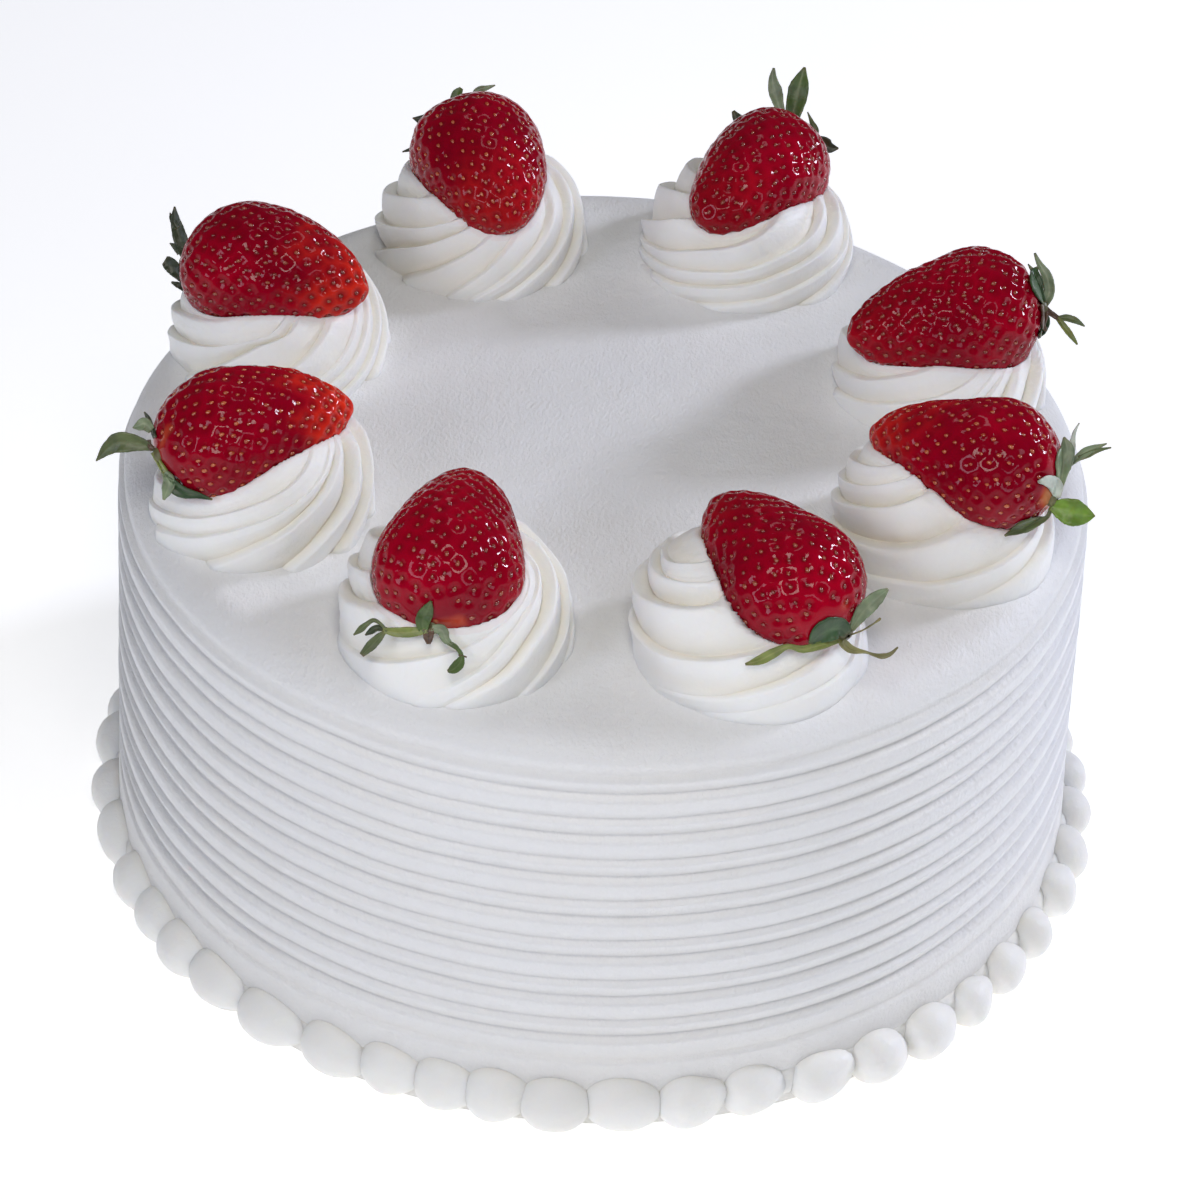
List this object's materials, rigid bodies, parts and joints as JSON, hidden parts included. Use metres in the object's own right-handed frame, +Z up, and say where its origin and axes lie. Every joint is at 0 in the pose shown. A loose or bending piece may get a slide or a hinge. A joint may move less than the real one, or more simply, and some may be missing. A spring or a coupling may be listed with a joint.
{
  "type": "strawberry layer cake",
  "caption": "Round iced layer cake with comb-ridged sides, a piped bead border at its foot and a ring of piped cream rosettes, each topped by a whole strawberry.",
  "frame": {"origin": "centre of the cake's flat base", "axes": "+Z up through the middle of the cake's top, -Y towards the front, +X to the right as seen from the front"},
  "size_m": [0.2401, 0.2396, 0.1422],
  "materials": {
    "icing": "satin whipped cream, combed round the side",
    "piped_cream": "satin piped cream",
    "berry": "glossy wet fruit skin",
    "leaf": "matte leaf"
  },
  "bodies": {
    "root": {"cake": "icing", "border": "piped_cream", "rosette_1": "piped_cream", "rosette_2": "piped_cream", "rosette_3": "piped_cream", "rosette_4": "piped_cream", "rosette_5": "piped_cream", "rosette_6": "piped_cream", "rosette_7": "piped_cream", "rosette_8": "piped_cream", "strawberry_1": "berry", "strawberry_2": "berry", "strawberry_3": "berry", "strawberry_4": "berry", "strawberry_5": "berry", "strawberry_6": "berry", "strawberry_7": "berry", "strawberry_8": "berry", "calyx_1": "leaf", "calyx_2": "leaf", "calyx_3": "leaf", "calyx_4": "leaf", "calyx_5": "leaf", "calyx_6": "leaf", "calyx_7": "leaf", "calyx_8": "leaf"}
  },
  "joints": []
}
